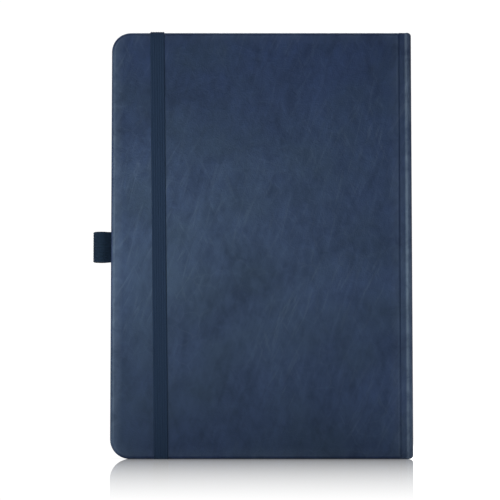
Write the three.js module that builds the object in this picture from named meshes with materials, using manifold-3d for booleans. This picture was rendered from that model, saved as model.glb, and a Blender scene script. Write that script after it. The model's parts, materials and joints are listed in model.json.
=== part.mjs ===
// An A5 hardcover pilot logbook that stands upright on its tail edge, in millimetres with +Z up.
// The spine faces +X, the fore edge -X, the front cover +Y and the back cover -Y.
// The shapes below use the book's own frame, with z = 0 at the covers' tail edge and x = y = 0 at the
// middle of the covers. The last lines shift the whole book so that the origin is at the middle of
// its bottom.
import * as THREE from "three";
import { mergeVertices } from "three/addons/utils/BufferGeometryUtils.js";
import Module from "manifold-3d";

const wasm = await Module();
wasm.setup();

// The case: two covers and a spine.
const COVER_W = 148;
const COVER_H = 210;
const BOOK_T = 18;
const CORNER_R = 9.5;
const LEATHER_T = 0.9;
const BOARD_T = 2;
const FIT = 0.1; // clearance between layers that are glued together
const TURN_IN_T = 0.5;
const TURN_IN_W = 15;
const PASTEDOWN_T = 0.25;
const PASTEDOWN_INSET = 2.5;
const SPINE_EDGE_R = 1.5;
const SPINE_BOARD_T = 1.2;

// The groove between each cover and the spine, measured from the spine's outer face.
const GROOVE_NEAR = 2.8;
const GROOVE_FAR = 5.5;
const GROOVE_DEPTH = 1;

// The sewn text block.
const BLOCK_T = 9;
const SQUARE = 3; // how far the covers stand out past the pages
const BLOCK_CORNER_R = 7;
const SPINE_SIDE_X = 70;
const BOUND_W = 5; // the depth of the glued folds
const SECTIONS_PER_HALF = 6;
const SECTION_GAP = 0.05;
const CENTRE_SLOT = 1.5; // the room in the middle of the block for the separate leaves
const LEAF_COUNT = 4;
const LEAF_T = 0.2;
const LEAF_PITCH = 0.3;
const LEAF_ROOT_GAP = 0.8;
const FLYLEAF_T = 0.2;
const FLYLEAF_GAP = 0.15;
const FLYLEAF_ROOT = 63;
const THREAD_T = 0.25;
const MULL_T = 0.25;
const LINING_T = 0.2;
const MULL_INSET = 9;
const HEADBAND_R = 0.8;
const THREAD_INSET = 18;

// The elastic closure, parked round the back cover, and the elastic pen loop.
const BAND_W = 7;
const BAND_T = 0.5;
const BAND_GAP = 0.05;
const BAND_FROM_FORE_EDGE = 23.3;
const ANCHOR_T = 0.45;
const LOOP_REACH = 8.9;
const LOOP_H = 15;
const LOOP_MIDDLE_Z = 103.7;
const LOOP_R = 4;
const LOOP_WALL = 0.95;
const LOOP_Y = -5;
const LOOP_NECK_T = 1;
const LOOP_TAB_W = 14.5;

// Places that follow from the sizes above.
const FORE_X = -COVER_W / 2;
const SPINE_X = COVER_W / 2;
const COVER_Y = BOOK_T / 2;
const BLOCK_Y = BLOCK_T / 2;
const COVER_END_X = SPINE_X - GROOVE_FAR;
const SPINE_START_X = SPINE_X - GROOVE_NEAR;
const BOARD_OUT_Y = COVER_Y - LEATHER_T - FIT;
const BOARD_IN_Y = BOARD_OUT_Y - BOARD_T;
const TURN_IN_OUT_Y = BOARD_IN_Y - FIT;
const TURN_IN_IN_Y = TURN_IN_OUT_Y - TURN_IN_T;
const PASTEDOWN_OUT_Y = TURN_IN_IN_Y - FIT;
const BLOCK_FORE_X = FORE_X + SQUARE;
const BOUND_X = SPINE_SIDE_X - BOUND_W;
const BLOCK_TOP = COVER_H - SQUARE;
const BAND_X = FORE_X + BAND_FROM_FORE_EDGE;
const BAND_PROUD = BAND_GAP + BAND_T;
const LOOP_X = FORE_X - LOOP_REACH + LOOP_R;
const LOOP_BOTTOM = LOOP_MIDDLE_Z - LOOP_H / 2;
const LOOP_TOP = LOOP_MIDDLE_Z + LOOP_H / 2;

const ARC_STEPS = 8;
const BEYOND = 2; // how far a cutting shape passes the face that it cuts
const NAVY = 0x2f3f57;
const MATERIALS = {
  leather: { color: NAVY, roughness: 0.5, metalness: 0 },
  board: { color: 0x8b8478, roughness: 0.9, metalness: 0 },
  paper: { color: 0xf1ecdd, roughness: 0.85, metalness: 0 },
  endpaper: { color: 0xe6e0cf, roughness: 0.8, metalness: 0 },
  mull: { color: 0xdcd6c4, roughness: 0.95, metalness: 0 },
  thread: { color: 0xf4f1e8, roughness: 0.8, metalness: 0 },
  headband: { color: 0x25344a, roughness: 0.7, metalness: 0 },
  elastic: { color: 0x1d2a3a, roughness: 0.75, metalness: 0 },
};

const book = new THREE.Group();

function addNode(name, geometry, material) {
  const mesh = new THREE.Mesh(geometry, new THREE.MeshStandardMaterial(MATERIALS[material]));
  mesh.name = name;
  book.add(mesh);
}

// Solids

function box(x0, x1, y0, y1, z0, z1) {
  const geometry = new THREE.BoxGeometry(x1 - x0, Math.abs(y1 - y0), z1 - z0);
  return geometry.translate((x0 + x1) / 2, (y0 + y1) / 2, (z0 + z1) / 2);
}

function extruded(shape, depth) {
  return new THREE.ExtrudeGeometry(shape, { depth, bevelEnabled: false, curveSegments: ARC_STEPS });
}

// An outline in X and Z made into a plate between two heights in Y.
function plate(outline, yA, yB) {
  const geometry = extruded(outline, Math.abs(yB - yA));
  return geometry.rotateX(Math.PI / 2).translate(0, Math.max(yA, yB), 0);
}

// An outline in X and Y that stands between two heights in Z.
function column(outline, z0, z1) {
  return extruded(outline, z1 - z0).translate(0, 0, z0);
}

// An outline in Y and Z that runs between two places in X.
function strip(outline, x0, x1) {
  const turn = new THREE.Matrix4().makeBasis(
    new THREE.Vector3(0, 1, 0),
    new THREE.Vector3(0, 0, 1),
    new THREE.Vector3(1, 0, 0),
  );
  return extruded(outline, x1 - x0).applyMatrix4(turn).translate(x0, 0, 0);
}

function polygon(points) {
  return new THREE.Shape(points.map(([a, b]) => new THREE.Vector2(a, b)));
}

// A leaf's outline: square at the spine, with the two fore-edge corners rounded.
function leafOutline(foreX, spineX, bottom, top, radius) {
  const outline = new THREE.Shape();
  outline.moveTo(spineX, bottom);
  outline.lineTo(spineX, top);
  outline.absarc(foreX + radius, top - radius, radius, Math.PI / 2, Math.PI, false);
  outline.absarc(foreX + radius, bottom + radius, radius, Math.PI, 1.5 * Math.PI, false);
  return outline;
}

function toManifold(geometry) {
  const bare = geometry.clone();
  bare.deleteAttribute("normal");
  bare.deleteAttribute("uv");
  const merged = mergeVertices(bare);
  return new wasm.Manifold(
    new wasm.Mesh({
      numProp: 3,
      vertProperties: merged.getAttribute("position").array,
      triVerts: new Uint32Array(merged.index.array),
    }),
  );
}

function toGeometry(solid) {
  const mesh = solid.getMesh();
  return new THREE.BufferGeometry()
    .setAttribute("position", new THREE.BufferAttribute(mesh.vertProperties, mesh.numProp))
    .setIndex(new THREE.BufferAttribute(mesh.triVerts, 1));
}

function join(geometries) {
  return toGeometry(geometries.map(toManifold).reduce((whole, piece) => whole.add(piece)));
}

function cut(geometry, cutters) {
  const solid = cutters.reduce((rest, cutter) => rest.subtract(toManifold(cutter)), toManifold(geometry));
  return toGeometry(solid);
}

// Covers. side is 1 for the front cover and -1 for the back cover.

function coverSkin(side, notches) {
  const outer = leafOutline(FORE_X, COVER_END_X, 0, COVER_H, CORNER_R);
  const pocket = leafOutline(
    FORE_X + LEATHER_T,
    COVER_END_X + BEYOND,
    LEATHER_T,
    COVER_H - LEATHER_T,
    CORNER_R - LEATHER_T,
  );
  const pocketCut = plate(pocket, side * TURN_IN_OUT_Y, side * (COVER_Y - LEATHER_T));
  const windowCut = box(
    FORE_X + TURN_IN_W,
    COVER_END_X + BEYOND,
    side * (TURN_IN_IN_Y - BEYOND),
    side * (TURN_IN_OUT_Y + FIT),
    TURN_IN_W,
    COVER_H - TURN_IN_W,
  );
  const whole = plate(outer, side * TURN_IN_IN_Y, side * COVER_Y);
  return cut(whole, [pocketCut, windowCut, ...notches]);
}

function coverBoard(side) {
  const inset = LEATHER_T + FIT;
  const outline = leafOutline(FORE_X + inset, COVER_END_X - FIT, inset, COVER_H - inset, CORNER_R - inset);
  return plate(outline, side * BOARD_IN_Y, side * BOARD_OUT_Y);
}

function pastedown(side) {
  const outline = leafOutline(
    FORE_X + PASTEDOWN_INSET,
    COVER_END_X - FIT,
    PASTEDOWN_INSET,
    COVER_H - PASTEDOWN_INSET,
    CORNER_R - PASTEDOWN_INSET,
  );
  return plate(outline, side * (PASTEDOWN_OUT_Y - PASTEDOWN_T), side * PASTEDOWN_OUT_Y);
}

// A slot through the back cover's turn-in, for an elastic end that is glued under the pastedown.
function turnInSlot(x0, x1, z0, z1) {
  return box(x0 - FIT, x1 + FIT, -TURN_IN_OUT_Y - FIT, -TURN_IN_IN_Y + BEYOND, z0, z1);
}

// The thin leather that joins a cover to the spine, sunk into a groove.
function hingeLeather(side) {
  const near = SPINE_START_X - FIT;
  const far = COVER_END_X + 2 * FIT;
  const slope = (near - far) / 4;
  const floor = COVER_Y - GROOVE_DEPTH;
  const points = [
    [near, COVER_Y],
    [near - slope, floor],
    [far + slope, floor],
    [far, COVER_Y],
    [far, COVER_Y - LEATHER_T],
    [far + slope, floor - LEATHER_T],
    [near - slope, floor - LEATHER_T],
    [near, COVER_Y - LEATHER_T],
  ];
  return column(polygon(points.map(([x, y]) => [x, side * y])), 0, COVER_H);
}

for (const [name, side] of [["front", 1], ["back", -1]]) {
  addNode(name + "_board", coverBoard(side), "board");
  addNode(name + "_pastedown", pastedown(side), "endpaper");
  addNode(name + "_hinge_leather", hingeLeather(side), "leather");
}

const bandEdges = [BAND_X - BAND_W / 2, BAND_X + BAND_W / 2];
const slots = [
  turnInSlot(...bandEdges, -BEYOND, TURN_IN_W + FIT),
  turnInSlot(...bandEdges, COVER_H - TURN_IN_W - FIT, COVER_H + BEYOND),
  turnInSlot(FORE_X - BEYOND, FORE_X + TURN_IN_W + FIT, LOOP_BOTTOM - FIT, LOOP_TOP + FIT),
];
addNode("front_cover_leather", coverSkin(1, []), "leather");
addNode("back_cover_leather", coverSkin(-1, slots), "leather");

// Spine

function spineSkin() {
  const outline = new THREE.Shape();
  const cornerX = SPINE_X - SPINE_EDGE_R;
  const cornerY = COVER_Y - SPINE_EDGE_R;
  outline.moveTo(SPINE_START_X, COVER_Y);
  outline.lineTo(SPINE_START_X, -COVER_Y);
  outline.absarc(cornerX, -cornerY, SPINE_EDGE_R, -Math.PI / 2, 0, false);
  outline.absarc(cornerX, cornerY, SPINE_EDGE_R, 0, Math.PI / 2, false);
  const pocketX = [SPINE_X - LEATHER_T - 2 * FIT - SPINE_BOARD_T, SPINE_X - LEATHER_T];
  const pocketY = [LEATHER_T - COVER_Y, COVER_Y - LEATHER_T];
  const pocketCut = box(...pocketX, ...pocketY, LEATHER_T, COVER_H - LEATHER_T);
  const windowX = [SPINE_START_X - BEYOND, pocketX[0] + FIT];
  const windowCut = box(...windowX, ...pocketY, TURN_IN_W, COVER_H - TURN_IN_W);
  return cut(column(outline, 0, COVER_H), [pocketCut, windowCut]);
}

function spineBoard() {
  const outX = SPINE_X - LEATHER_T - FIT;
  const inset = LEATHER_T + FIT;
  return box(outX - SPINE_BOARD_T, outX, inset - COVER_Y, COVER_Y - inset, inset, COVER_H - inset);
}

// The sewn folds of every section, glued into one strip, with one rounded back for each section.
function boundEdge() {
  const folds = 2 * SECTIONS_PER_HALF;
  const pitch = BLOCK_T / folds;
  const roundness = pitch / 4;
  const outline = new THREE.Shape();
  outline.moveTo(BOUND_X, BLOCK_Y);
  outline.lineTo(BOUND_X, -BLOCK_Y);
  for (let i = 0; i < folds; i++) {
    const middle = -BLOCK_Y + (i + 0.5) * pitch;
    const backX = SPINE_SIDE_X - roundness;
    outline.absellipse(backX, middle, roundness, pitch / 2, -Math.PI / 2, Math.PI / 2, false, 0);
  }
  return extrudeFolds(outline);
}

function extrudeFolds(outline) {
  const stepsPerFold = 4;
  const depth = BLOCK_TOP - SQUARE;
  const options = { depth, bevelEnabled: false, curveSegments: stepsPerFold };
  return new THREE.ExtrudeGeometry(outline, options).translate(0, 0, SQUARE);
}

// One thread that runs along each fold and links it to the next at the head or the tail.
function sewingThread() {
  const folds = 2 * SECTIONS_PER_HALF;
  const pitch = BLOCK_T / folds;
  const half = THREAD_T / 2;
  const bottom = SQUARE + THREAD_INSET;
  const top = BLOCK_TOP - THREAD_INSET;
  const threadX = [SPINE_SIDE_X + FIT / 2, SPINE_SIDE_X + FIT / 2 + THREAD_T];
  const runs = [];
  for (let i = 0; i < folds; i++) {
    const y = -BLOCK_Y + (i + 0.5) * pitch;
    runs.push(box(...threadX, y - half, y + half, bottom, top));
    const linkTop = i % 2 ? bottom + THREAD_T : top;
    if (i < folds - 1) runs.push(box(...threadX, y, y + pitch, linkTop - THREAD_T, linkTop));
  }
  return join(runs);
}

function headbandRoll(z) {
  const roll = new THREE.CylinderGeometry(HEADBAND_R, HEADBAND_R, BLOCK_T - 2 * FIT, 12);
  return roll.translate(SPINE_SIDE_X - HEADBAND_R, 0, z);
}

addNode("spine_leather", spineSkin(), "leather");
addNode("spine_board", spineBoard(), "board");
addNode("bound_edge", boundEdge(), "paper");
addNode("sewing_thread", sewingThread(), "thread");

const mullX = SPINE_SIDE_X + THREAD_T + 1.5 * FIT;
const liningX = mullX + MULL_T + FIT;
const mullHeight = [SQUARE + MULL_INSET, BLOCK_TOP - MULL_INSET];
addNode("spine_mull", box(mullX, mullX + MULL_T, -BLOCK_Y, BLOCK_Y, ...mullHeight), "mull");
const liningHeight = [SQUARE + 2 * FIT, BLOCK_TOP - 2 * FIT];
addNode(
  "spine_lining_paper",
  box(liningX, liningX + LINING_T, -BLOCK_Y, BLOCK_Y, ...liningHeight),
  "paper",
);
const headbandRise = HEADBAND_R + 1.5 * FIT;
addNode("head_band", headbandRoll(BLOCK_TOP + headbandRise), "headband");
addNode("tail_band", headbandRoll(SQUARE - headbandRise), "headband");

// Text block

function blockPlate(spineX, yA, yB) {
  const outline = leafOutline(BLOCK_FORE_X, spineX, SQUARE, BLOCK_TOP, BLOCK_CORNER_R);
  return plate(outline, yA, yB);
}

const sectionPitch = (BLOCK_Y - CENTRE_SLOT / 2) / SECTIONS_PER_HALF;
const sectionThickness = sectionPitch - SECTION_GAP;
for (let i = 0; i < SECTIONS_PER_HALF; i++) {
  const outY = BLOCK_Y - i * sectionPitch;
  const inY = outY - sectionThickness;
  const rootX = BOUND_X - 1.5 * FIT;
  const frontNumber = String(i + 1).padStart(2, "0");
  const rearNumber = String(2 * SECTIONS_PER_HALF - i).padStart(2, "0");
  addNode("section_" + frontNumber, blockPlate(rootX, inY, outY), "paper");
  addNode("section_" + rearNumber, blockPlate(rootX, -inY, -outY), "paper");
}

for (let i = 0; i < LEAF_COUNT; i++) {
  const middle = ((LEAF_COUNT - 1) / 2 - i) * LEAF_PITCH;
  const geometry = blockPlate(BOUND_X - LEAF_ROOT_GAP, middle - LEAF_T / 2, middle + LEAF_T / 2);
  addNode("leaf_" + (i + 1), geometry, "paper");
}

for (const [name, side] of [["front", 1], ["back", -1]]) {
  const nearY = BLOCK_Y + FLYLEAF_GAP;
  const geometry = blockPlate(FLYLEAF_ROOT, side * nearY, side * (nearY + FLYLEAF_T));
  addNode(name + "_flyleaf", geometry, "endpaper");
}

// Elastics

// The band runs down the back cover's face and folds over its head and tail edges.
function closureBand() {
  const face = -COVER_Y - BAND_GAP;
  const end = -TURN_IN_IN_Y;
  const outline = polygon([
    [face - BAND_T, -BAND_PROUD],
    [end, -BAND_PROUD],
    [end, -BAND_GAP],
    [face, -BAND_GAP],
    [face, COVER_H + BAND_GAP],
    [end, COVER_H + BAND_GAP],
    [end, COVER_H + BAND_PROUD],
    [face - BAND_T, COVER_H + BAND_PROUD],
  ]);
  return strip(outline, ...bandEdges);
}

function bandAnchor(z0, z1) {
  return box(...bandEdges, -TURN_IN_IN_Y - ANCHOR_T, -TURN_IN_IN_Y, z0, z1);
}

// A ring of elastic whose two ends meet in a flat neck at the back cover's fore edge.
function penLoop() {
  const ring = new THREE.Shape();
  ring.absarc(LOOP_X, LOOP_Y, LOOP_R, 0, 2 * Math.PI, false);
  const inside = new THREE.Path();
  inside.absarc(LOOP_X, LOOP_Y, LOOP_R - LOOP_WALL, 0, 2 * Math.PI, true);
  ring.holes.push(inside);
  const options = { depth: LOOP_H, bevelEnabled: false, curveSegments: 4 * ARC_STEPS };
  const ringGeometry = new THREE.ExtrudeGeometry(ring, options).translate(0, 0, LOOP_BOTTOM);
  const neckMiddleY = -TURN_IN_IN_Y - ANCHOR_T / 2;
  const neckY = [neckMiddleY - LOOP_NECK_T / 2, neckMiddleY + LOOP_NECK_T / 2];
  const neck = box(LOOP_X + LOOP_R - LOOP_WALL / 2, FORE_X - 3 * FIT, ...neckY, LOOP_BOTTOM, LOOP_TOP);
  return join([ringGeometry, neck]);
}

const anchorEnd = 3 * FIT;
const anchorDepth = TURN_IN_W - 2 * FIT;
addNode("closure_band", closureBand(), "elastic");
addNode("band_anchor_tail", bandAnchor(anchorEnd, anchorDepth), "elastic");
addNode("band_anchor_head", bandAnchor(COVER_H - anchorDepth, COVER_H - anchorEnd), "elastic");
addNode("pen_loop", penLoop(), "elastic");
const tabX = [FORE_X + FIT, FORE_X + LOOP_TAB_W];
const tabY = [-TURN_IN_IN_Y - ANCHOR_T, -TURN_IN_IN_Y];
addNode("pen_loop_tab", box(...tabX, ...tabY, LOOP_BOTTOM, LOOP_TOP), "elastic");

// The origin is at the middle of the whole book's bottom.
book.position.set(LOOP_REACH / 2, BAND_PROUD / 2, BAND_PROUD);

export default book;
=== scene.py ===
"""The looks of an A5 hardcover pilot logbook that stands on its tail edge, in metres."""
import json
import math

import bmesh
import bpy
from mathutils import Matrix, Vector


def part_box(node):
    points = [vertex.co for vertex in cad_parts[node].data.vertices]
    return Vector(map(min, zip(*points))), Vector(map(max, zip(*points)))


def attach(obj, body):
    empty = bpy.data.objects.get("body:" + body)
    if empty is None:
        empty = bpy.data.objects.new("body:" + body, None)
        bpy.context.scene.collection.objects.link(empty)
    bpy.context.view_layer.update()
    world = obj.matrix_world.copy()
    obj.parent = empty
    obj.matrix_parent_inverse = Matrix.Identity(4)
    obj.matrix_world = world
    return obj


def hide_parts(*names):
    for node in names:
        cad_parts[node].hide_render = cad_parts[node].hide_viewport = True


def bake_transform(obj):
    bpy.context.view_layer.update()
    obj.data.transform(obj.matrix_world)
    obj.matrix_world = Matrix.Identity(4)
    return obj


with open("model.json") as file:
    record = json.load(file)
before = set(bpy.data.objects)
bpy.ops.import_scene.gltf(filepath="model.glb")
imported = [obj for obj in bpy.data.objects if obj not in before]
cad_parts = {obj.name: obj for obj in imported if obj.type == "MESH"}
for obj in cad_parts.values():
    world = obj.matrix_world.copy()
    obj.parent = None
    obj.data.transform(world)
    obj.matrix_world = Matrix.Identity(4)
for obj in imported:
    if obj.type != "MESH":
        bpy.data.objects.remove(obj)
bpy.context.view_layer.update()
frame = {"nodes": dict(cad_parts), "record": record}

MM = 0.001

# Places read from the frame. A distance from the middle plane is called depth: the front cover is on
# the side of +Y (side = 1) and the back cover on the side of -Y (side = -1).
FRONT_LOW, FRONT_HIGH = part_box("front_cover_leather")
BACK_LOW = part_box("back_cover_leather")[0]
BAND_LOW, BAND_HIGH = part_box("closure_band")
LOOP_LOW, LOOP_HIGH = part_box("pen_loop")
BOUND_LOW, BOUND_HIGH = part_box("bound_edge")
MIDDLE_Y = (FRONT_HIGH.y + BACK_LOW.y) / 2
COVER_OUT = FRONT_HIGH.y - MIDDLE_Y
COVER_IN = FRONT_LOW.y - MIDDLE_Y
FORE_X = FRONT_LOW.x
COVER_END_X = FRONT_HIGH.x
SPINE_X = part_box("spine_leather")[1].x
TAIL = FRONT_LOW.z
HEAD = FRONT_HIGH.z

# Sizes of the soft and rounded shapes
CORNER_R = 9.5 * MM
EDGE_R = 1.3 * MM
EDGE_REACH = 2.1 * MM
INNER_EDGE_R = 0.7 * MM
SPINE_SIDE_CORNER_R = 1.0 * MM
SMALLEST_CORNER_R = 0.3 * MM
LEATHER_T = 0.9 * MM
TURN_IN = 15 * MM
GROOVE_DEPTH = 0.6 * MM
SHOULDER_R = 1.5 * MM
SPINE_CORNER_REACH = 2.2 * MM
SPINE_CORNER_DROP = 1.3 * MM
PAGE_CORNER_R = 7 * MM
PAGE_INSET = 3 * MM
BAND_SLANT = 1.25 * MM
SMOOTH_ANGLE = math.radians(38)
ARC_STEPS = 10

# How much the leather is painted paler, as painted light: against the groove's shade, and as painted
# highlights over the spine's shoulder, on the spine's face and along the covers' edges
GROOVE_PAINTED_LIGHT = 0.12
SHOULDER_PAINTED_HIGHLIGHT = 0.4
SPINE_FACE_PAINTED_LIGHT = 0.15
EDGE_PAINTED_HIGHLIGHT = 0.75
END_PAINTED_HIGHLIGHT = 0.15

# The stage. The floor stands a little above the frame's zero, so that no bright gap shows under the
# covers. This hides most of the band's fold at the tail, which is the lowest part of the book.
# Floor and sky share one brightness, so that no horizon shows between them.
FLOOR_LIFT = 0.5 * MM
FLOOR_HALF_SIZE = 6.0
FLOOR_WHITE = 1.05
# The floor's glow beside the book, a painted contact shadow, and how far that painted shadow reaches
CONTACT_SHADOW_WHITE = 0.2
CONTACT_REACH = 0.035
REFLECTION_REACH = 0.50
SKY_DIM = 0.07

# Where the pages and the leather bend as the book opens
GUTTER_END_X = SPINE_X - 12 * MM
SEAM_X = SPINE_X - 3.6 * MM


def at(x, depth, z, side=1):
    return Vector((x, MIDDLE_Y + side * depth, z))


# Materials


class Nodes:
    """A short way to write a material's node tree."""

    def __init__(self, name):
        self.material = bpy.data.materials.new(name)
        self.material.use_nodes = True
        self.tree = self.material.node_tree
        self.shader = self.tree.nodes["Principled BSDF"]

    def add(self, kind, **values):
        node = self.tree.nodes.new(kind)
        for key, value in values.items():
            if key in node.inputs:
                node.inputs[key].default_value = value
            else:
                setattr(node, key, value)
        return node

    def link(self, source, target):
        self.tree.links.new(source, target)

    def math(self, operation, a, b=0.0, c=0.0, clamp=False):
        node = self.add("ShaderNodeMath", operation=operation, use_clamp=clamp)
        for socket, value in zip(node.inputs, (a, b, c)):
            if isinstance(value, (int, float)):
                socket.default_value = value
            else:
                self.link(value, socket)
        return node.outputs[0]

    def remap(self, value, low, high, to_low=0.0, to_high=1.0):
        node = self.add("ShaderNodeMapRange")
        self.link(value, node.inputs["Value"])
        node.inputs["From Min"].default_value = low
        node.inputs["From Max"].default_value = high
        node.inputs["To Min"].default_value = to_low
        node.inputs["To Max"].default_value = to_high
        return node.outputs["Result"]

    def mix(self, factor, a, b):
        node = self.add("ShaderNodeMix", data_type="RGBA")
        sockets = [node.inputs["Factor"], node.inputs["A"], node.inputs["B"]]
        colour_sockets = [s for s in node.inputs if s.type == "RGBA"]
        for socket, value in zip([sockets[0], *colour_sockets], (factor, a, b)):
            if isinstance(value, (int, float)):
                socket.default_value = value
            elif isinstance(value, tuple):
                socket.default_value = (*value, 1)
            else:
                self.link(value, socket)
        return next(s for s in node.outputs if s.type == "RGBA")

    def rest_place(self):
        """The point's place at rest, so that a pattern stays on a piece that bends."""
        return self.add("ShaderNodeAttribute", attribute_name="rest_place").outputs["Vector"]

    def object_place(self):
        return self.add("ShaderNodeTexCoord").outputs["Object"]

    def stretched(self, place, size, lean=0.0):
        """Coordinates for a pattern of this size in metres, leaning by so many degrees towards +X."""
        node = self.add("ShaderNodeMapping", vector_type="TEXTURE")
        self.link(place, node.inputs["Vector"])
        node.inputs["Rotation"].default_value = (0, math.radians(lean), 0)
        node.inputs["Scale"].default_value = size
        return node.outputs["Vector"]

    def noise(self, place, scale, detail=3.0, roughness=0.5, distortion=0.0):
        node = self.add("ShaderNodeTexNoise", Scale=scale, Detail=detail)
        node.inputs["Roughness"].default_value = roughness
        node.inputs["Distortion"].default_value = distortion
        self.link(place, node.inputs["Vector"])
        return node.outputs["Fac"]

    def cells(self, place, scale, feature="F1"):
        node = self.add("ShaderNodeTexVoronoi", feature=feature, Scale=scale)
        self.link(place, node.inputs["Vector"])
        return node.outputs["Distance"]

    def bump(self, height, distance, strength=1.0, below=None):
        node = self.add("ShaderNodeBump", Strength=strength, Distance=distance)
        self.link(height, node.inputs["Height"])
        if below is not None:
            self.link(below, node.inputs["Normal"])
        return node.outputs["Normal"]

    def finish(self, colour=None, roughness=None, normal=None):
        for name, value in (("Base Color", colour), ("Roughness", roughness), ("Normal", normal)):
            if value is None:
                continue
            if isinstance(value, tuple):
                self.shader.inputs[name].default_value = (*value, 1)
            elif isinstance(value, float):
                self.shader.inputs[name].default_value = value
            else:
                self.link(value, self.shader.inputs[name])
        return self.material


def leather():
    """Navy pull-up leatherette: soft clouds, brushed streaks, pale scuffs, crackle and pebble grain, with
    painted highlights read from the mesh.
    """
    n = Nodes("navy_leatherette")
    place = n.rest_place()

    def streaks(across, along, lean, detail=3.0):
        size = (across * MM, 12 * MM, along * MM)
        return n.noise(n.stretched(place, size, lean), 1, detail, 0.6, 0.3)

    def weighted(*terms):
        total = 0.0
        for value, weight in terms:
            total = n.math("MULTIPLY_ADD", value, weight, total)
        return total

    clouds = n.noise(place, 16, detail=3, roughness=0.55, distortion=0.5)
    mottle = n.noise(place, 150, detail=5, roughness=0.65, distortion=0.6)
    brush = streaks(3.6, 15, 17)
    cross = streaks(4.4, 17, -20)
    tone = weighted((clouds, 0.42), (mottle, 0.28), (brush, 0.26), (cross, 0.20))
    colour = n.mix(n.remap(tone, 0.46, 0.70), (0.0093, 0.0168, 0.0555), (0.0252, 0.0430, 0.115))
    hue = n.noise(place, 38, detail=3)
    colour = n.mix(n.remap(hue, 0.42, 0.68, 0, 0.4), colour, (0.0185, 0.034, 0.060))
    wander = n.add("ShaderNodeTexNoise", Scale=60, Detail=3)
    n.link(place, wander.inputs["Vector"])
    warp = n.add("ShaderNodeVectorMath", operation="MULTIPLY_ADD")
    n.link(wander.outputs["Color"], warp.inputs[0])
    warp.inputs[1].default_value = (0.014, 0.014, 0.014)
    n.link(place, warp.inputs[2])
    crackle = n.cells(warp.outputs["Vector"], 95, "DISTANCE_TO_EDGE")
    vein = n.remap(crackle, 0.0, 0.045, 1, 0)
    patch = n.remap(n.noise(place, 24, detail=2), 0.46, 0.64)
    veins = n.math("MULTIPLY", vein, patch)
    scuffs = n.math(
        "ADD",
        n.remap(streaks(2.2, 20, 27), 0.57, 0.76),
        n.remap(streaks(2.0, 24, 14), 0.58, 0.78),
    )
    scuffs = n.math("ADD", scuffs, n.remap(streaks(2.2, 15, -24), 0.60, 0.80), clamp=True)
    scuffs = n.math("MULTIPLY", scuffs, n.remap(clouds, 0.44, 0.60))
    # Painted light from the mesh: paler leather as a painted highlight along the covers' turning edges and
    # the spine's rise, and as painted light against the groove's shade, mottled so it looks rubbed.
    painted_light = n.add("ShaderNodeAttribute", attribute_name="painted_light").outputs["Fac"]
    painted_light_amount = n.math("MULTIPLY", painted_light, n.remap(mottle, 0.35, 0.6, 0.4, 1))
    # Veins and scuffs are pale marks of the leather; the largest share is the painted highlight.
    pale = weighted((veins, 0.05), (scuffs, 0.20), (painted_light_amount, 0.95))
    colour = n.mix(pale, colour, (0.125, 0.168, 0.235))
    grain = n.cells(place, 1500)
    pebble = n.noise(place, 800, detail=4, roughness=0.6)
    normal = n.bump(grain, 0.00005, 0.6)
    normal = n.bump(pebble, 0.0001, 0.4, normal)
    normal = n.bump(mottle, 0.0005, 0.3, normal)
    normal = n.bump(vein, 0.00004, 0.3, normal)
    roughness = n.remap(tone, 0.44, 0.68, 0.53, 0.39)
    n.shader.inputs["Specular Tint"].default_value = (0.55, 0.82, 1, 1)
    return n.finish(colour, roughness, normal)


def elastic(name, dark, light):
    """Woven elastic: fine crosswise picks over the ribs that the mesh has."""
    n = Nodes(name)
    place = n.rest_place()
    weave = n.add("ShaderNodeTexWave", wave_type="BANDS", bands_direction="DIAGONAL", Scale=900)
    n.link(place, weave.inputs["Vector"])
    weave.inputs["Distortion"].default_value = 1.5
    fuzz = n.noise(place, 1400, detail=4)
    tone = n.math("ADD", n.math("MULTIPLY", weave.outputs["Fac"], 0.5), n.math("MULTIPLY", fuzz, 0.5))
    colour = n.mix(n.remap(tone, 0.3, 0.75), dark, light)
    normal = n.bump(tone, 0.00012, 0.6)
    n.shader.inputs["Specular IOR Level"].default_value = 0.3
    n.shader.inputs["Specular Tint"].default_value = (0.4, 0.7, 1, 1)
    return n.finish(colour, 0.78, normal)


def paper(name, tint, place_of=Nodes.rest_place):
    n = Nodes(name)
    place = place_of(n)
    fibre = n.noise(place, 600, detail=6, roughness=0.7)
    cloud = n.noise(place, 25, detail=3)
    shade = n.math("ADD", n.math("MULTIPLY", fibre, 0.5), n.math("MULTIPLY", cloud, 0.5))
    dim = tuple(0.93 * c for c in tint)
    colour = n.mix(n.remap(shade, 0.35, 0.65), dim, tint)
    n.shader.inputs["Specular IOR Level"].default_value = 0.25
    return n.finish(colour, 0.82, n.bump(fibre, 0.00004, 0.4))


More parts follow.
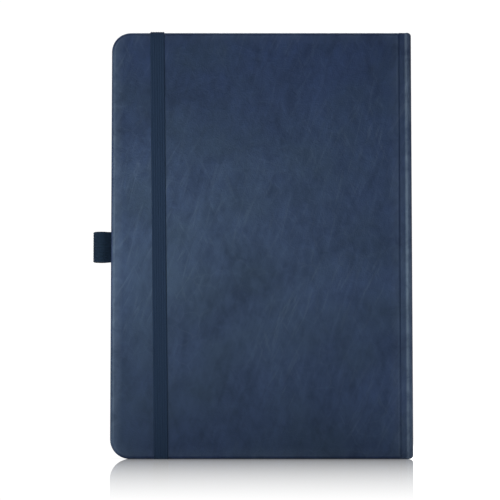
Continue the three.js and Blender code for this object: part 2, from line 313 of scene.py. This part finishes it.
def ruled_paper(tint):
    """A page printed with a plain table: rules across, column lines and a heading rule, with no words."""
    n = Nodes("ruled_page")
    place = n.rest_place()
    axes = n.add("ShaderNodeSeparateXYZ")
    n.link(place, axes.inputs["Vector"])
    x, z = axes.outputs["X"], axes.outputs["Z"]

    def lines(value, origin, pitch, width):
        share = n.math("FRACT", n.math("DIVIDE", n.math("SUBTRACT", value, origin), pitch))
        return n.math("LESS_THAN", share, width / pitch)

    def between(value, low, high):
        return n.math("MULTIPLY", n.math("GREATER_THAN", value, low), n.math("LESS_THAN", value, high))

    margin = 9 * MM
    line = 0.22 * MM
    heavy_line = 0.5 * MM
    left, right = FORE_X + PAGE_INSET + margin, BOUND_LOW.x - margin
    low, high = TAIL + PAGE_INSET + margin, HEAD - PAGE_INSET - margin
    head_rule = high - 14 * MM
    frame_mask = n.math("MULTIPLY", between(x, left, right), between(z, low, high))
    row_mask = n.math("MULTIPLY", between(x, left, right), between(z, low, head_rule))
    rows = n.math("MULTIPLY", lines(z, low, 7 * MM, line), row_mask)
    columns = n.math("MULTIPLY", lines(x, left, 18 * MM, line), frame_mask)
    heading = n.math("MULTIPLY", between(z, head_rule, head_rule + heavy_line), between(x, left, right))
    top = n.math("MULTIPLY", between(z, high - heavy_line, high), between(x, left, right))
    ink = n.math("ADD", n.math("ADD", rows, columns), n.math("ADD", heading, top), clamp=True)
    fibre = n.noise(place, 600, detail=6, roughness=0.7)
    sheet = n.mix(n.remap(fibre, 0.35, 0.65), tuple(0.95 * c for c in tint), tint)
    colour = n.mix(n.math("MULTIPLY", ink, 0.7), sheet, (0.16, 0.25, 0.36))
    n.shader.inputs["Specular IOR Level"].default_value = 0.25
    return n.finish(colour, 0.82, n.bump(fibre, 0.00004, 0.4))


def page_edges(tint):
    """The cut edges of many leaves: fine uneven lines along the book's thickness."""
    n = Nodes("page_edges")
    place = n.rest_place()
    leaves = n.noise(n.stretched(place, (25 * MM, 0.11 * MM, 25 * MM)), 1, 3, 0.6)
    wave = n.noise(place, 120, detail=2)
    tone = n.math("ADD", n.math("MULTIPLY", leaves, 0.8), n.math("MULTIPLY", wave, 0.2))
    colour = n.mix(n.remap(tone, 0.35, 0.65), tuple(0.62 * c for c in tint), tint)
    return n.finish(colour, 0.85, n.bump(leaves, 0.00008, 0.5))


def board():
    n = Nodes("greyboard")
    place = n.object_place()
    fibre = n.noise(n.stretched(place, (3 * MM, 0.8 * MM, 3 * MM)), 1, 6, 0.7)
    colour = n.mix(n.remap(fibre, 0.35, 0.65), (0.20, 0.17, 0.14), (0.33, 0.29, 0.25))
    return n.finish(colour, 0.9, n.bump(fibre, 0.0001, 0.5))


def gauze():
    n = Nodes("gauze")
    place = n.object_place()
    grid = n.add("ShaderNodeTexBrick", Scale=1)
    n.link(n.stretched(place, (3 * MM, 3 * MM, 3 * MM), 90), grid.inputs["Vector"])
    colour = n.mix(grid.outputs["Fac"], (0.70, 0.66, 0.56), (0.45, 0.42, 0.35))
    return n.finish(colour, 0.95, n.bump(grid.outputs["Fac"], 0.0001, 0.6))


def thread(name, dark, light, pitch):
    """Twisted or wound thread in slanting turns, one every pitch."""
    n = Nodes(name)
    wave = n.add("ShaderNodeTexWave", wave_type="BANDS", bands_direction="Y", Scale=0.314 / pitch)
    n.link(n.object_place(), wave.inputs["Vector"])
    colour = n.mix(wave.outputs["Fac"], dark, light)
    return n.finish(colour, 0.7, n.bump(wave.outputs["Fac"], 0.0001, 0.6))


PAPER_TINT = (0.84, 0.80, 0.70)
ENDPAPER_TINT = (0.78, 0.74, 0.64)
LEATHER = leather()
BAND_ELASTIC = elastic("band_elastic", (0.013, 0.025, 0.055), (0.024, 0.042, 0.082))
LOOP_ELASTIC = elastic("loop_elastic", (0.006, 0.012, 0.022), (0.014, 0.028, 0.055))
ENDPAPER = paper("endpaper", ENDPAPER_TINT)
RULED = ruled_paper(PAPER_TINT)
EDGES = page_edges(PAPER_TINT)


# Meshes


def make_mesh(name, points, faces, materials):
    mesh = bpy.data.meshes.new(name)
    mesh.from_pydata(points, [], faces)
    tidy = bmesh.new()
    tidy.from_mesh(mesh)
    bmesh.ops.recalc_face_normals(tidy, faces=tidy.faces)
    tidy.to_mesh(mesh)
    tidy.free()
    for material in materials:
        mesh.materials.append(material)
    mesh.shade_smooth()
    mesh.set_sharp_from_angle(angle=SMOOTH_ANGLE)
    place = mesh.attributes.new("rest_place", "FLOAT_VECTOR", "POINT")
    place.data.foreach_set("vector", [c for v in mesh.vertices for c in v.co])
    piece = bpy.data.objects.new(name, mesh)
    bpy.context.scene.collection.objects.link(piece)
    return piece


def loft(name, rings, materials, closed=True, first_cap=False, last_cap=False):
    """A skin over rings of points that all have the same number of points."""
    count = len(rings[0])
    points = [p for ring in rings for p in ring]
    faces = []
    for i in range(len(rings) - 1):
        for j in range(count if closed else count - 1):
            k = (j + 1) % count
            faces.append((i * count + j, i * count + k, (i + 1) * count + k, (i + 1) * count + j))
    if first_cap:
        faces.append(tuple(range(count)))
    if last_cap:
        faces.append(tuple(range((len(rings) - 1) * count, len(rings) * count)))
    return make_mesh(name, points, faces, materials)


def arc(centre, radius, start, end, steps=ARC_STEPS):
    """Points on an arc, from start to end in degrees."""
    angles = [math.radians(start + (end - start) * i / steps) for i in range(steps + 1)]
    return [(centre[0] + radius * math.cos(a), centre[1] + radius * math.sin(a)) for a in angles]


def cover_outline(inset):
    """The cover's outline in X and Z, drawn in by inset, with round corners at the fore edge."""
    fore_r = max(CORNER_R - inset, SMALLEST_CORNER_R)
    end_r = max(SPINE_SIDE_CORNER_R - inset, SMALLEST_CORNER_R)
    left, right = FORE_X + inset, COVER_END_X - inset
    low, high = TAIL + inset, HEAD - inset
    return [
        *arc((right - end_r, low + end_r), end_r, -90, 0),
        *arc((right - end_r, high - end_r), end_r, 0, 90),
        *arc((left + fore_r, high - fore_r), fore_r, 90, 180),
        *arc((left + fore_r, low + fore_r), fore_r, 180, 270),
    ]


def cover_skin(name, side):
    """Leather over the board: the outer face, the rounded edges and the turn-in."""
    inner = arc((INNER_EDGE_R, COVER_IN + INNER_EDGE_R), INNER_EDGE_R, -90, -180, 5)
    outer = [
        (EDGE_REACH * (1 + u), COVER_OUT - EDGE_R * (1 - v)) for u, v in arc((0, 0), 1, 180, 90, 12)
    ]
    profile = [(TURN_IN, COVER_IN + 0.4 * MM), (TURN_IN, COVER_IN), *inner, *outer, (6 * MM, COVER_OUT)]
    rings = [[at(x, depth, z, side) for x, z in cover_outline(inset)] for inset, depth in profile]
    skin = loft(name, rings, [LEATHER], last_cap=True)
    insets = [inset for inset, depth in profile for point in rings[0]]
    # A painted highlight where the covers' edges turn over: paler leather standing for light on the
    # rounding.
    mark_painted_light(skin, [edge_painted_highlight(inset, v.co.z) for inset, v in zip(insets, skin.data.vertices)])
    return skin


def smooth_path(points, steps=6):
    """A Catmull-Rom curve through points given as tuples."""

    def between(a, b, c, d, t):
        linear = (c - a) * t
        square = (2 * a - 5 * b + 4 * c - d) * t**2
        cube = (3 * b - a - 3 * c + d) * t**3
        return 0.5 * (2 * b + linear + square + cube)

    padded = [points[0], *points, points[-1]]
    path = []
    for quad in zip(padded, padded[1:], padded[2:], padded[3:]):
        for i in range(steps):
            path.append(tuple(between(*axis, i / steps) for axis in zip(*quad)))
    path.append(points[-1])
    return path


def inward_normals(path):
    """For each point of a plane path, the unit normal on its right-hand side."""
    normals = []
    for i in range(len(path)):
        before, after = path[max(i - 1, 0)], path[min(i + 1, len(path) - 1)]
        along = Vector((after[0] - before[0], after[1] - before[1])).normalized()
        normals.append(Vector((along.y, -along.x)))
    return normals


def spine_corner_drop(x):
    """How far the head and tail are drawn in at the rounded corners of the spine."""
    share = (x - SPINE_X) / SPINE_CORNER_REACH + 1
    return SPINE_CORNER_DROP * (1 - math.sqrt(1 - min(max(share, 0), 1) ** 2))


def standing_strip(name, path, side, thickness, material, margin=None):
    """A strip that stands along Z and follows a path in X and depth, with rounded head and tail edges.
    It keeps a margin from the head and tail, or else is drawn in at the corners of the spine."""
    r = thickness / 2
    rings = []
    for (x, depth), normal in zip(path, inward_normals(path)):
        drop = spine_corner_drop(x) if margin is None else margin
        low, high = TAIL + drop, HEAD - drop
        fold = [*arc((low + r, r), r, 270, 90, 6), *arc((high - r, r), r, 90, -90, 6)]
        rings.append([at(x + normal.x * u, depth + normal.y * u, z, side) for z, u in fold])
    return loft(name, rings, [material], first_cap=True, last_cap=True)


def mark_painted_light(piece, values):
    """How much painted light each point's leather gets, painting it paler, from 0 to 1."""
    painted_light = piece.data.attributes.new("painted_light", "FLOAT", "POINT")
    painted_light.data.foreach_set("value", values)


def edge_painted_highlight(inset, height):
    """The painted highlight along a cover's edge: most where the face starts to turn over, least at head and
    tail.
    """
    painted_light_amount = max(0.0, 1 - abs(inset - 0.75 * EDGE_REACH) / (0.45 * EDGE_REACH))
    share = min(1.0, max(0.0, min(height - TAIL, HEAD - height) / CORNER_R))
    return painted_light_amount * (END_PAINTED_HIGHLIGHT + (EDGE_PAINTED_HIGHLIGHT - END_PAINTED_HIGHLIGHT) * share)


# The leather case


def bend_at_cover(piece):
    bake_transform(piece)


def bend_at_spine(piece):
    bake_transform(piece)


def spine_painted_light(x):
    """A painted highlight, most where the hinge rises to the spine and still a little over the shoulder;
    lower painted light in the groove and on the spine's face.
    """
    past = x - (SEAM_X + 1.0 * MM)
    if past < 0:
        return max(GROOVE_PAINTED_LIGHT, 1 + past / (1.0 * MM))
    if x < SPINE_X - 0.3 * MM:
        return max(SHOULDER_PAINTED_HIGHLIGHT, 1 - past / (1.5 * MM))
    return SPINE_FACE_PAINTED_LIGHT


def make_case():
    floor = COVER_OUT - GROOVE_DEPTH
    tucked = [
        (COVER_END_X - 0.6 * MM, floor - 0.05 * MM),
        (COVER_END_X + 0.2 * MM, floor),
        (COVER_END_X + 1.0 * MM, floor),
        (SEAM_X, floor),
    ]
    rise = smooth_path(
        [
            (SEAM_X, floor),
            (SEAM_X + 0.2 * MM, floor),
            (SEAM_X + 0.9 * MM, floor + 0.5 * GROOVE_DEPTH),
            (SEAM_X + 1.6 * MM, COVER_OUT - 0.03 * MM),
            (SPINE_X - SHOULDER_R - 0.1 * MM, COVER_OUT),
        ]
    )
    shoulder = arc((SPINE_X - SHOULDER_R, COVER_OUT - SHOULDER_R), SHOULDER_R, 90, 0, 8)
    back_of_spine = [(SPINE_X, depth * MM) for depth in (6, 3, 0)]
    for side, name, half in ((1, "front", "front_half"), (-1, "back", "rear_half")):
        cover = name + "_cover"
        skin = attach(cover_skin(name + "_cover_skin", side), cover)
        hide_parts(name + "_cover_leather")
        hinge = standing_strip(name + "_hinge_skin", tucked, side, LEATHER_T, LEATHER)
        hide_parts(name + "_hinge_leather")
        bend_at_cover(hinge)
        path = [*rise, *shoulder, *back_of_spine]
        spine = standing_strip(name + "_spine_skin", path, side, LEATHER_T, LEATHER)
        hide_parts("spine_leather")
        bend_at_spine(spine)
        # Painted light on the hinge's leather against the groove's shade, and painted highlights on the
        # spine's leather.
        mark_painted_light(hinge, [GROOVE_PAINTED_LIGHT] * len(hinge.data.vertices))
        mark_painted_light(spine, [spine_painted_light(vertex.co.x) for vertex in spine.data.vertices])


def make_spine_stiffener():
    """The spine's board with the leather turned in over its head and tail."""
    low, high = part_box("spine_board")
    half_width = (high.y - low.y) / 2
    path = [(SPINE_X - 0.8 * MM, half_width * share) for share in (1, 0.5, 0, -0.5, -1)]
    wrap = standing_strip("spine_turn_in", path, 1, 1.7 * MM, LEATHER, margin=SPINE_CORNER_DROP + 0.1 * MM)
    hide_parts("spine_board")
    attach(wrap, "spine")


# Paper


def page_columns(fore_x, root_x):
    """Places along X and how far the head and tail are drawn in there by the round corners."""
    corner = [
        (fore_x + PAGE_CORNER_R * (1 - math.sin(a)), PAGE_CORNER_R * (1 - math.cos(a)))
        for a in [math.radians(90 - 90 * i / ARC_STEPS) for i in range(ARC_STEPS + 1)]
    ]
    bend_from = GUTTER_END_X - 2 * MM
    steps = 24
    body = [(bend_from * i / 4 + corner[-1][0] * (4 - i) / 4, 0.0) for i in range(1, 5)]
    gutter = [(bend_from + (root_x - bend_from) * i / steps, 0.0) for i in range(1, steps + 1)]
    return [*corner, *body, *gutter]


def page_stack(name, low_y, high_y, root_x):
    """A leaf or a section: its faces are printed pages and its edges are cut paper."""
    fore_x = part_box("section_01")[0].x
    rings = []
    for x, inset in page_columns(fore_x, root_x):
        low, high = BOUND_LOW.z + inset, BOUND_HIGH.z - inset
        corners = [(low_y, low), (high_y, low), (high_y, high), (low_y, high)]
        rings.append([Vector((x, y, z)) for y, z in corners])
    piece = loft(name, rings, [RULED, EDGES], first_cap=True, last_cap=True)
    for face in piece.data.polygons:
        face.material_index = 0 if abs(face.normal.y) > 0.5 else 1
    return piece


def make_text_block():
    root_x = BOUND_HIGH.x - 0.1 * MM
    bodies = frame["record"]["behaviour"]["bodies"]
    for half in ("front_half", "rear_half"):
        for node in bodies[half]:
            low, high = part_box(node)
            piece = page_stack(node + "_pages", low.y, high.y, root_x)
            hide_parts(node)
            if node == "section_01":
                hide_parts("bound_edge")
            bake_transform(piece)
    for node in ("leaf_1", "leaf_2", "leaf_3", "leaf_4"):
        low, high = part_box(node)
        piece = page_stack(node + "_page", low.y, high.y, root_x)
        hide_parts(node)
        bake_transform(piece)


def make_endpapers():
    for side, name, half in ((1, "front", "front_half"), (-1, "back", "rear_half")):
        low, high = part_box(name + "_flyleaf")
        leaf = page_stack(name + "_flyleaf_page", low.y, high.y, BOUND_HIGH.x - 0.6 * MM)
        leaf.data.materials[0] = ENDPAPER
        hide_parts(name + "_flyleaf")
        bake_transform(leaf)
        make_pastedown(name, side)
        make_endpaper_joint(name, side, leaf_depth=abs((low.y + high.y) / 2 - MIDDLE_Y))


def make_endpaper_joint(name, side, leaf_depth):
    """The endpaper's fold, from the pastedown over the inside of the hinge to the flyleaf."""
    pastedown_low, pastedown_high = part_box(name + "_pastedown")
    glued = min(abs(pastedown_low.y - MIDDLE_Y), abs(pastedown_high.y - MIDDLE_Y))
    under_hinge = COVER_OUT - GROOVE_DEPTH - LEATHER_T - 0.02 * MM
    thickness = 0.2 * MM
    cover_part = [
        (pastedown_high.x - 0.4 * MM, glued + 0.15 * MM),
        (COVER_END_X + 0.05 * MM, glued + 0.22 * MM),
        (COVER_END_X + 0.28 * MM, glued + 0.55 * MM),
        (COVER_END_X + 0.35 * MM, under_hinge - 0.35 * MM),
        (COVER_END_X + 0.7 * MM, under_hinge - 0.05 * MM),
        (SEAM_X, under_hinge),
    ]
    block_part = [
        (SEAM_X, under_hinge),
        (SEAM_X + 0.15 * MM, under_hinge - 0.4 * MM),
        (SEAM_X, leaf_depth + 0.9 * MM),
        (SEAM_X - 0.4 * MM, leaf_depth + 0.25 * MM),
        (SEAM_X - 1.2 * MM, leaf_depth + 0.1 * MM),
    ]
    margin = BOUND_LOW.z - TAIL
    for part, path in (("cover", cover_part), ("block", block_part)):
        joint_name = f"{name}_joint_paper_{part}"
        piece = standing_strip(joint_name, smooth_path(path, 4), side, thickness, ENDPAPER, margin)
        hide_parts(name + "_flyleaf")
        if part == "cover":
            bend_at_cover(piece)
        else:
            bend_at_spine(piece)


def make_pastedown(name, side):
    """The paper glued inside a cover, with the edge of the turn-in showing through as a low step."""
    low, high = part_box(name + "_pastedown")
    shown = abs((low.y if side > 0 else high.y) - MIDDLE_Y)
    inset = low.x - FORE_X
    step = 0.18 * MM
    profile = [
        (inset, shown + 0.22 * MM),
        (inset + 0.05 * MM, shown),
        (TURN_IN - 0.6 * MM, shown),
        (TURN_IN + 0.8 * MM, shown + step),
        (TURN_IN + 6 * MM, shown + step),
    ]
    rings = []
    for ring_inset, depth in profile:
        ring = []
        for x, z in cover_outline(ring_inset):
            ring.append(at(min(x + (ring_inset if x > 0 else 0), high.x), depth, z, side))
        rings.append(ring)
    sheet = loft(name + "_pastedown_sheet", rings, [ENDPAPER], last_cap=True)
    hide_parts(name + "_pastedown")
    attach(sheet, name + "_cover")


# Elastics


def ribbed_section(width, thickness, ribs, relief):
    """(across, height) points round a flat ribbed ribbon: the ribs on the outer face, a plain inner face."""
    per_rib = 8
    count = ribs * per_rib
    outer = []
    for i in range(count + 1):
        share = i / count
        valley = abs(math.cos(math.pi * ribs * share)) ** 3
        edge = min(share, 1 - share) * width
        rounding = max(0.0, 1 - edge / (0.5 * thickness)) ** 2
        outer.append((width * (share - 0.5), thickness - relief * valley - 0.5 * thickness * rounding))
    return [*outer, (width / 2, 0.0), (-width / 2, 0.0)]


def ribbon(name, path, across, section, material):
    """A ribbon whose outer face is on the left of a path of (point, outward direction) pairs."""
    rings = [[point + across * u + outward * h for u, h in section] for point, outward in path]
    return loft(name, rings, [material], first_cap=True, last_cap=True)


def band_route(end_z, direction):
    """The band's inner face from the middle of the book over one end of the back cover.
    direction is 1 for the head and -1 for the tail. Returns (depth, z, normal depth, normal z)."""
    face = COVER_OUT + 0.03 * MM
    middle_z = (HEAD + TAIL) / 2
    clear = 0.03 * MM
    route = []
    steps = 14
    for i in range(steps + 1):
        z = middle_z + (end_z - direction * EDGE_R - middle_z) * i / steps
        route.append((face, z, 1.0, 0.0))
    for i in range(1, ARC_STEPS + 1):
        a = math.radians(90 * i / ARC_STEPS)
        depth = COVER_OUT - EDGE_R + (EDGE_R + clear) * math.cos(a)
        z = end_z + direction * ((EDGE_R + clear) * math.sin(a) - EDGE_R)
        route.append((depth, z, math.cos(a), direction * math.sin(a)))
    for i in range(ARC_STEPS + 1):
        a = math.radians(90 + 90 * i / ARC_STEPS)
        depth = COVER_IN + INNER_EDGE_R + INNER_EDGE_R * math.cos(a)
        z = end_z + direction * (INNER_EDGE_R * math.sin(a) - INNER_EDGE_R + clear)
        route.append((depth, z, math.cos(a), direction * math.sin(a)))
    sunk = COVER_IN + 0.42 * MM
    for reach in (2.5, 6, 12):
        route.append((sunk, end_z - direction * reach * MM, -1.0, 0.0))
    return route


def make_band():
    width = BAND_HIGH.x - BAND_LOW.x
    thickness = BAND_HIGH.z - HEAD - 0.05 * MM
    centre_x = (BAND_LOW.x + BAND_HIGH.x) / 2 + 0.4 * MM
    section = ribbed_section(width, thickness, ribs=6, relief=0.11 * MM)
    middle_z = (HEAD + TAIL) / 2
    for name, end_z, direction, anchor in (
        ("upper", HEAD, 1, "band_anchor_head"),
        ("lower", TAIL, -1, "band_anchor_tail"),
    ):
        path = []
        for depth, z, out_depth, out_z in band_route(end_z, direction):
            slant = -BAND_SLANT * (z - middle_z) / (HEAD - middle_z)
            point = at(centre_x + slant, depth, z, -1)
            path.append((point, Vector((0, -out_depth, out_z))))
        piece = ribbon("closure_band_" + name, path, Vector((1, 0, 0)), section, BAND_ELASTIC)
        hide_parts("closure_band", anchor)
        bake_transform(piece)


def make_pen_loop():
    """Ribbed elastic that leaves the cover's fore edge, goes round the pen's place and comes back."""
    centre_x = LOOP_LOW.x + 4 * MM
    centre_y = (LOOP_LOW.y + LOOP_HIGH.y) / 2
    root_y = -COVER_IN + MIDDLE_Y - 0.25 * MM
    root_x = FORE_X + 2 * MM
    thickness = 0.85 * MM
    radius_x = centre_x - LOOP_LOW.x - thickness
    radius_y = (LOOP_HIGH.y - LOOP_LOW.y) / 2 - thickness
    turns = [math.radians(angle) for angle in range(35, 326, 15)]
    bulge = [(centre_x + radius_x * math.cos(a), centre_y + radius_y * math.sin(a)) for a in turns]
    neck = [(root_x, root_y + 0.1 * MM), (FORE_X - 0.4 * MM, root_y + 0.12 * MM)]
    back = [(FORE_X - 0.4 * MM, root_y - 0.12 * MM), (root_x, root_y - 0.1 * MM)]
    route = smooth_path([*neck, *bulge, *back], steps=3)
    normals = [-n for n in inward_normals(route)]
    path = [
        (Vector((x, y, (LOOP_LOW.z + LOOP_HIGH.z) / 2)), Vector((-n.x, -n.y, 0)))
        for (x, y), n in zip(route, normals)
    ]
    section = ribbed_section(LOOP_HIGH.z - LOOP_LOW.z, thickness, ribs=12, relief=0.13 * MM)
    piece = ribbon("pen_loop_elastic", path, Vector((0, 0, 1)), section, LOOP_ELASTIC)
    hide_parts("pen_loop", "pen_loop_tab")
    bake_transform(piece)


# Small parts of the spine


def make_headbands():
    """Woven rolls that close the head and the tail of the spine, with a stitch every 0.7 mm."""
    silk = thread("headband_silk", (0.012, 0.020, 0.040), (0.055, 0.080, 0.130), 0.7 * MM)
    for node in ("head_band", "tail_band"):
        low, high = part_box(node)
        centre = (low + high) / 2
        radius = (high.x - low.x) / 2
        stitches = 12
        count = stitches * 6
        rings = []
        for i in range(count + 1):
            y = low.y + (high.y - low.y) * i / count
            ridge = radius * (0.93 + 0.07 * abs(math.sin(math.pi * stitches * i / count)))
            circle = arc((centre.x, centre.z), ridge, 0, 345, 23)
            rings.append([Vector((x, y, z)) for x, z in circle])
        roll = loft(node + "_roll", rings, [silk], first_cap=True, last_cap=True)
        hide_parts(node)
        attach(roll, "spine")


def dress_inner_nodes():
    """The inner pieces whose shapes are right stay, with finishes of their own."""
    finishes = {
        "front_board": board(),
        "sewing_thread": thread("linen_thread", (0.55, 0.52, 0.45), (0.85, 0.82, 0.75), 0.4 * MM),
        "spine_mull": gauze(),
        "spine_lining_paper": paper("lining_paper", (0.62, 0.52, 0.38), Nodes.object_place),
    }
    finishes["back_board"] = finishes["front_board"]
    for node, material in finishes.items():
        mesh = frame["nodes"][node].data
        mesh.materials.clear()
        mesh.materials.append(material)


# The stage: camera, floor, sky and lamps


def make_camera():
    """A long lens, low and tilted a little up, square to the back cover."""
    distance = 1.03
    tilt = math.radians(4.4)
    target = Vector((FORE_X + 68.3 * MM, BACK_LOW.y, TAIL + 102.1 * MM))
    camera = bpy.data.objects.new("camera", bpy.data.cameras.new("camera"))
    bpy.context.scene.collection.objects.link(camera)
    camera.data.sensor_width = 36
    camera.data.lens = 151.1
    camera.data.clip_start = 0.05
    camera.location = target - distance * Vector((0, math.cos(tilt), math.sin(tilt)))
    camera.rotation_euler = (math.radians(90) + tilt, 0, 0)
    bpy.context.scene.camera = camera


def make_floor():
    """A white floor, darker where it meets the book in a painted contact shadow, whose polish fades with
    distance from the place that the closed book stands on. To lamps and bounced light it is a matt floor."""
    half = FLOOR_HALF_SIZE
    mesh = bpy.data.meshes.new("floor")
    corners = [(x, y, FLOOR_LIFT) for x, y in ((-half, -half), (half, -half), (half, half), (-half, half))]
    mesh.from_pydata([Vector(c) for c in corners], [], [(0, 1, 2, 3)])
    floor = bpy.data.objects.new("floor", mesh)
    bpy.context.scene.collection.objects.link(floor)
    n = Nodes("floor")
    tree = n.tree
    axes = n.add("ShaderNodeSeparateXYZ")
    n.link(n.object_place(), axes.inputs["Vector"])
    beyond = []
    for axis, low, high in (("X", FORE_X, SPINE_X), ("Y", BACK_LOW.y, 2 * MIDDLE_Y - BACK_LOW.y)):
        offset = n.math("ABSOLUTE", n.math("SUBTRACT", axes.outputs[axis], (low + high) / 2))
        outside = n.math("MAXIMUM", n.math("SUBTRACT", offset, (high - low) / 2), 0.0)
        beyond.append(n.math("POWER", outside, 2.0))
    distance = n.math("SQRT", n.math("ADD", *beyond))
    fade = n.math("POWER", n.math("DIVIDE", distance, REFLECTION_REACH), 1.15)
    fresnel = n.add("ShaderNodeFresnel", IOR=1.45)
    grazing = n.math("POWER", fresnel.outputs[0], 1.8)
    polish = n.math("MULTIPLY", n.math("SUBTRACT", 1.0, fade, clamp=True), grazing)
    # Ambient occlusion dims the floor's glow beside the book: a painted contact shadow.
    openness = n.add("ShaderNodeAmbientOcclusion", Distance=CONTACT_REACH, samples=16).outputs["AO"]
    white = n.add("ShaderNodeEmission")
    n.link(n.remap(openness, 0.0, 1.0, CONTACT_SHADOW_WHITE, FLOOR_WHITE), white.inputs["Strength"])
    matt = n.add("ShaderNodeBsdfDiffuse", Color=(0.9, 0.9, 0.9, 1))
    gloss = n.add("ShaderNodeBsdfGlossy", Color=(1, 1, 1, 1), Roughness=0.0)
    path = n.add("ShaderNodeLightPath")
    seen = n.add("ShaderNodeMixShader")
    n.link(path.outputs["Is Camera Ray"], seen.inputs[0])
    n.link(matt.outputs[0], seen.inputs[1])
    n.link(white.outputs[0], seen.inputs[2])
    mixed = n.add("ShaderNodeMixShader")
    n.link(polish, mixed.inputs[0])
    n.link(seen.outputs[0], mixed.inputs[1])
    n.link(gloss.outputs[0], mixed.inputs[2])
    n.link(mixed.outputs[0], tree.nodes["Material Output"].inputs["Surface"])
    mesh.materials.append(n.material)


def make_sky():
    """White to the camera and to the floor's mirror, and behind the book near the horizon, so that
    grazing reflections on the leather are pale. The rest is a dim studio."""
    world = bpy.data.worlds.new("studio")
    world.use_nodes = True
    bpy.context.scene.world = world
    tree = world.node_tree
    background = tree.nodes["Background"]
    path = tree.nodes.new("ShaderNodeLightPath")
    place = tree.nodes.new("ShaderNodeTexCoord")
    axes = tree.nodes.new("ShaderNodeSeparateXYZ")
    tree.links.new(place.outputs["Generated"], axes.inputs[0])

    def math_node(operation, a, b):
        node = tree.nodes.new("ShaderNodeMath")
        node.operation = operation
        for socket, value in zip(node.inputs, (a, b)):
            if isinstance(value, (int, float)):
                socket.default_value = value
            else:
                tree.links.new(value, socket)
        return node.outputs[0]

    glow_height = 0.12
    glow_narrowness = 0.98
    level = math_node("LESS_THAN", math_node("ABSOLUTE", axes.outputs["Z"], 0), glow_height)
    behind = math_node("GREATER_THAN", axes.outputs["Y"], glow_narrowness)
    seen = math_node("MAXIMUM", path.outputs["Is Camera Ray"], path.outputs["Is Singular Ray"])
    bright = math_node("MAXIMUM", math_node("MULTIPLY", level, behind), seen)
    strength = math_node("ADD", math_node("MULTIPLY", bright, FLOOR_WHITE - SKY_DIM), SKY_DIM)
    tree.links.new(strength, background.inputs["Strength"])
    background.inputs["Color"].default_value = (1, 1, 1, 1)


def add_lamp(name, place, aim, size, power):
    data = bpy.data.lights.new(name, "AREA")
    data.shape = "RECTANGLE"
    data.size, data.size_y = size
    data.energy = power
    lamp = bpy.data.objects.new(name, data)
    lamp.location = place
    lamp.rotation_euler = (Vector(aim) - Vector(place)).to_track_quat("-Z", "Y").to_euler()
    lamp.visible_camera = False
    bpy.context.scene.collection.objects.link(lamp)


def make_lamps():
    middle = (0, 0, 0.11)
    add_lamp("key", (-0.11, -0.31, 0.130), (-0.04, 0, 0.115), (0.34, 0.03), 0.33)
    add_lamp("rim", (-0.85, -0.45, 0.15), middle, (0.25, 0.6), 2.8)
    add_lamp("fill", (0.7, -0.9, 0.3), middle, (0.8, 0.8), 1.15)
    add_lamp("top", (0, 0.75, 1.5), middle, (1.6, 1.2), 28)
    add_lamp("back", (0.5, 1.0, 0.4), middle, (0.9, 0.9), 3)


make_camera()
make_floor()
make_sky()
make_lamps()
make_case()
make_spine_stiffener()
make_text_block()
make_endpapers()
make_band()
make_pen_loop()
make_headbands()
dress_inner_nodes()
bpy.context.scene.view_settings.view_transform = "Standard"
